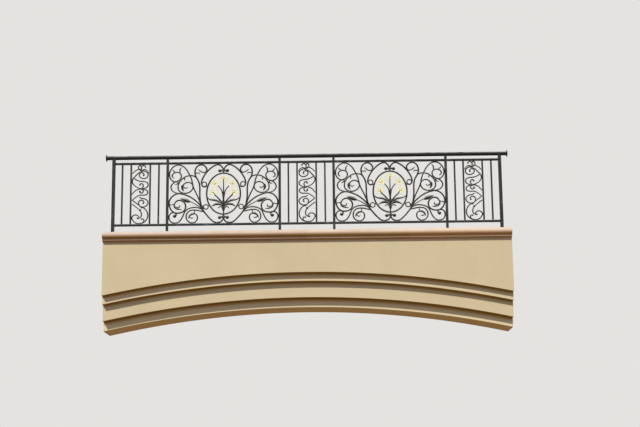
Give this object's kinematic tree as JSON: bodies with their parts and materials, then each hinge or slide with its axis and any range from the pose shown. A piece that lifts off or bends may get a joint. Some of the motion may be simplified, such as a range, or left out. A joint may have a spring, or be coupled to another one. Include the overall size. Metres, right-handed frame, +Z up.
{
  "type": "wrought iron balcony",
  "caption": "Straight balcony front with scrolled wrought iron railing panels and gilded flower sprays on a moulded stone coping over a stepped arch beam, with its floor slab.",
  "frame": {"origin": "middle of the floor slab's back face, which meets the building; left to right and top to bottom of that face", "axes": "+X to the right when seen from the street, +Y into the building so that the front faces -Y, +Z up"},
  "size_m": [4.84, 1.29, 2.133],
  "materials": {
    "forged_iron": "worn black paint on forged bar, dusty on its upper sides",
    "handrail_iron": "satin black paint worn smooth",
    "flower_gold": "pale gold paint, grimy in the folds",
    "coping_stone": "pinkish sandstone, weathered",
    "stucco": "fine yellow cream render",
    "band_stucco": "fine pale cream render",
    "slab_concrete": "bare concrete",
    "paving": "matte clay tiles"
  },
  "bodies": {
    "root": {"floor_slab": "slab_concrete", "floor_paving": "paving", "beam_face": "stucco", "upper_arch_band": "band_stucco", "middle_arch_band": "stucco", "lower_arch_band": "band_stucco", "coping_stone_1": "coping_stone", "coping_stone_2": "coping_stone", "coping_stone_3": "coping_stone", "coping_stone_4": "coping_stone", "handrail": "handrail_iron", "left_wall_flange": "handrail_iron", "right_wall_flange": "handrail_iron", "post_1": "forged_iron", "post_2": "forged_iron", "post_3": "forged_iron", "post_4": "forged_iron", "post_5": "forged_iron", "post_6": "forged_iron", "top_rail_1": "forged_iron", "top_rail_2": "forged_iron", "top_rail_3": "forged_iron", "top_rail_4": "forged_iron", "top_rail_5": "forged_iron", "bottom_rail_1": "forged_iron", "bottom_rail_2": "forged_iron", "bottom_rail_3": "forged_iron", "bottom_rail_4": "forged_iron", "bottom_rail_5": "forged_iron", "left_bay_bars": "forged_iron", "centre_bay_bars": "forged_iron", "right_bay_bars": "forged_iron", "left_narrow_panel": "forged_iron", "centre_narrow_panel": "forged_iron", "right_narrow_panel": "forged_iron", "left_wide_panel": "forged_iron", "right_wide_panel": "forged_iron", "left_spray": "forged_iron", "right_spray": "forged_iron", "left_flowers": "flower_gold", "right_flowers": "flower_gold"}
  },
  "joints": []
}
